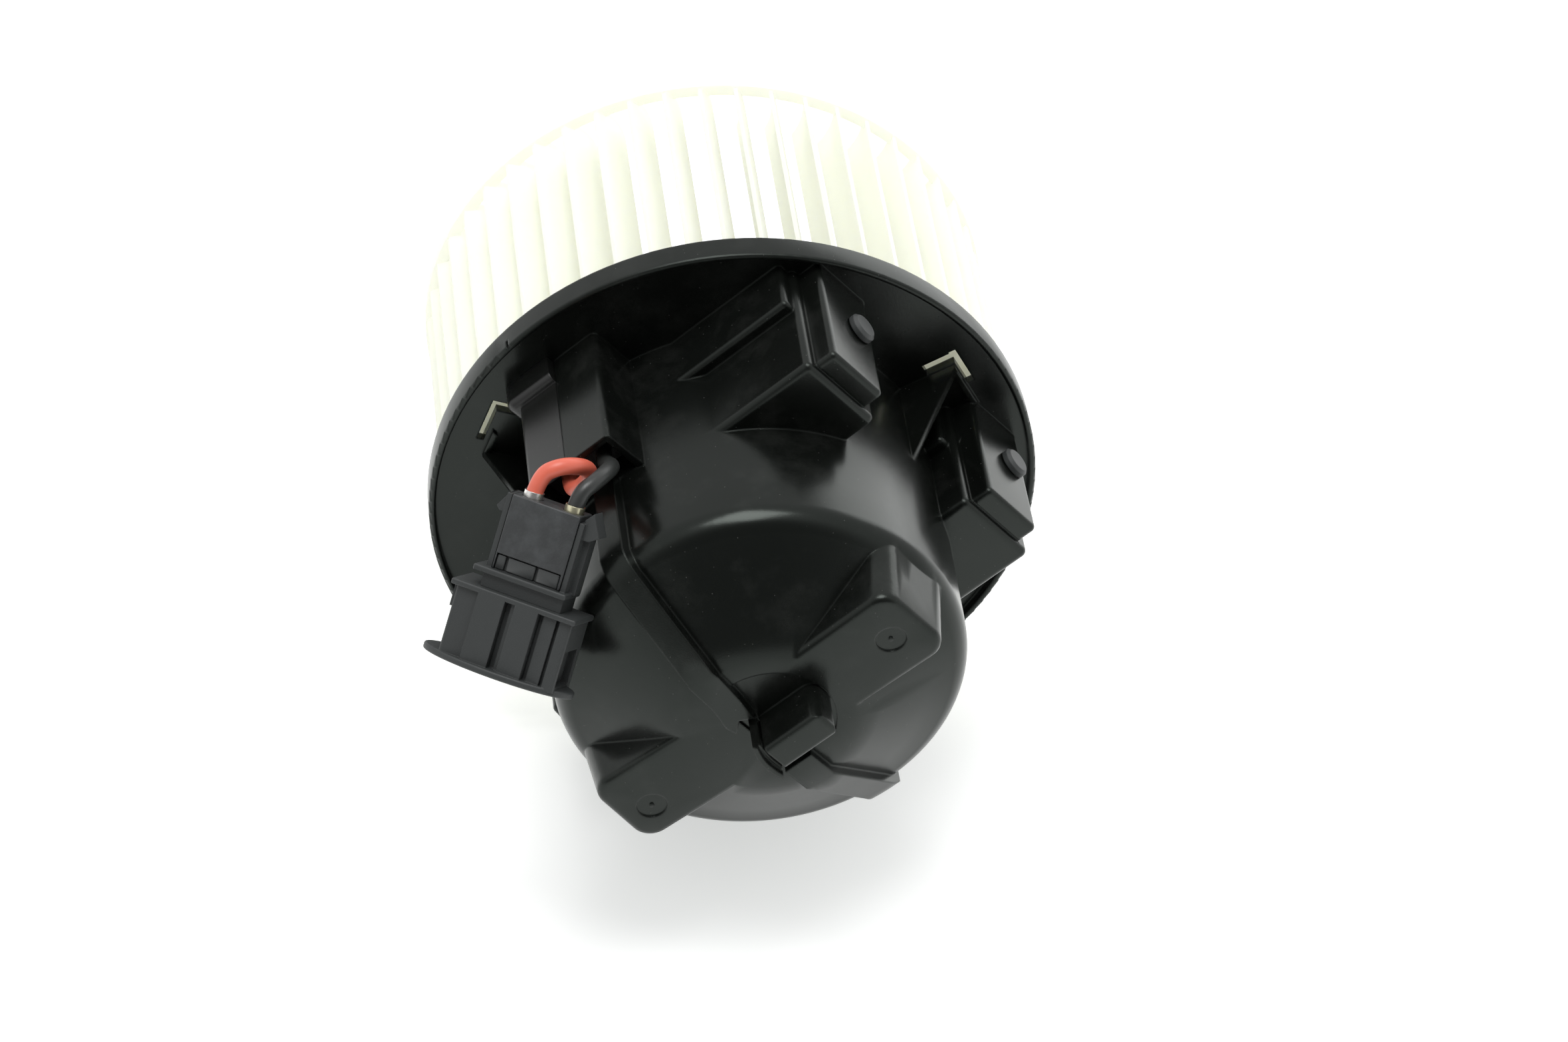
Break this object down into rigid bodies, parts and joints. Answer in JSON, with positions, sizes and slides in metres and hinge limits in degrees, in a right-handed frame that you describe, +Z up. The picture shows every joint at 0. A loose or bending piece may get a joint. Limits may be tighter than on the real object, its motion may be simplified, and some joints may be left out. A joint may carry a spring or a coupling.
{
  "type": "heater blower motor with wheel",
  "caption": "Heater blower with a squirrel-cage wheel on an electric motor in a flanged moulded housing, with a short two-wire pigtail and its plug.",
  "frame": {"origin": "on the shaft's axis, in the plane of the flange rim's wheel-side edge", "axes": "+Y along the shaft from the motor to the wheel, +Z up, +X to the right seen from the motor's closed end"},
  "size_m": [0.1617, 0.1782, 0.1572],
  "materials": {
    "housing_plastic": "moulded black, semi-matt",
    "cover_plastic": "moulded black, satin",
    "wheel_plastic": "natural cream nylon, semi-translucent",
    "plug_plastic": "dark grey nylon, fine grain",
    "plug_insert_plastic": "dark grey, scuffed",
    "lock_plastic": "grey",
    "red_insulation": "soft red wire insulation",
    "black_insulation": "soft black wire insulation",
    "tinned_metal": "tinned",
    "tinned_brass": "tinned brass, thinly plated",
    "rubber_black": "moulded rubber",
    "zinc_steel": "zinc plated",
    "bearing_bronze": "sintered bronze",
    "ground_steel": "ground",
    "core_steel": "stacked sheets",
    "ferrite": "sintered ferrite",
    "copper": "enamelled copper",
    "card_laminate": "phenolic laminate",
    "carbon": "carbon",
    "felt": "oiled felt",
    "insulator_fibre": "fibre",
    "spring_steel": "spring steel",
    "capacitor_case": "moulded case"
  },
  "bodies": {
    "root": {"motor_housing": "housing_plastic", "wire_exit_cover": "cover_plastic", "inner_cover": "housing_plastic", "cover_screws": "zinc_steel", "locating_pins": "plug_plastic", "rubber_dampers": "rubber_black", "motor_carrier": "zinc_steel", "motor_can": "zinc_steel", "motor_end_plate": "zinc_steel", "field_magnets": "ferrite", "front_bearing": "bearing_bronze", "rear_bearing": "bearing_bronze", "bearing_retainers": "spring_steel", "oil_felt": "felt", "brush_card": "card_laminate", "end_plate_screws": "zinc_steel", "brush_holders": "tinned_metal", "upper_brush_spring": "spring_steel", "lower_brush_spring": "spring_steel", "chokes": "copper", "capacitor": "capacitor_case", "wire_grommet": "rubber_black", "red_inner_lead": "red_insulation", "black_inner_lead": "black_insulation", "red_wire": "red_insulation", "black_wire": "black_insulation", "red_terminal": "tinned_metal", "black_terminal": "tinned_brass", "plug_insert": "plug_insert_plastic", "plug_lock": "lock_plastic", "plug_carrier": "plug_plastic", "plug_housing": "plug_plastic"},
    "rotor": {"motor_shaft": "ground_steel", "thrust_washers": "card_laminate", "armature_core": "core_steel", "armature_insulators": "insulator_fibre", "armature_windings": "copper", "commutator": "copper", "blower_wheel": "wheel_plastic", "hub_clip": "spring_steel", "balance_clips": "spring_steel"},
    "upper_brush": {"upper_brush": "carbon"},
    "lower_brush": {"lower_brush": "carbon"}
  },
  "joints": [
    {"name": "wheel_spin", "type": "hinge", "parent": "root", "child": "rotor", "pos_m": [0, 0, 0], "axis": [0, 1, 0], "continuous": true},
    {"name": "upper_brush_slide", "type": "slide", "parent": "root", "child": "upper_brush", "axis": [0, 0, 1], "range_m": [0, 0.004], "stiffness_N_per_m": 250, "springref_m": -0.005, "deforming": ["upper_brush_spring"]},
    {"name": "lower_brush_slide", "type": "slide", "parent": "root", "child": "lower_brush", "axis": [0, 0, -1], "range_m": [0, 0.004], "stiffness_N_per_m": 250, "springref_m": -0.005, "deforming": ["lower_brush_spring"]}
  ]
}
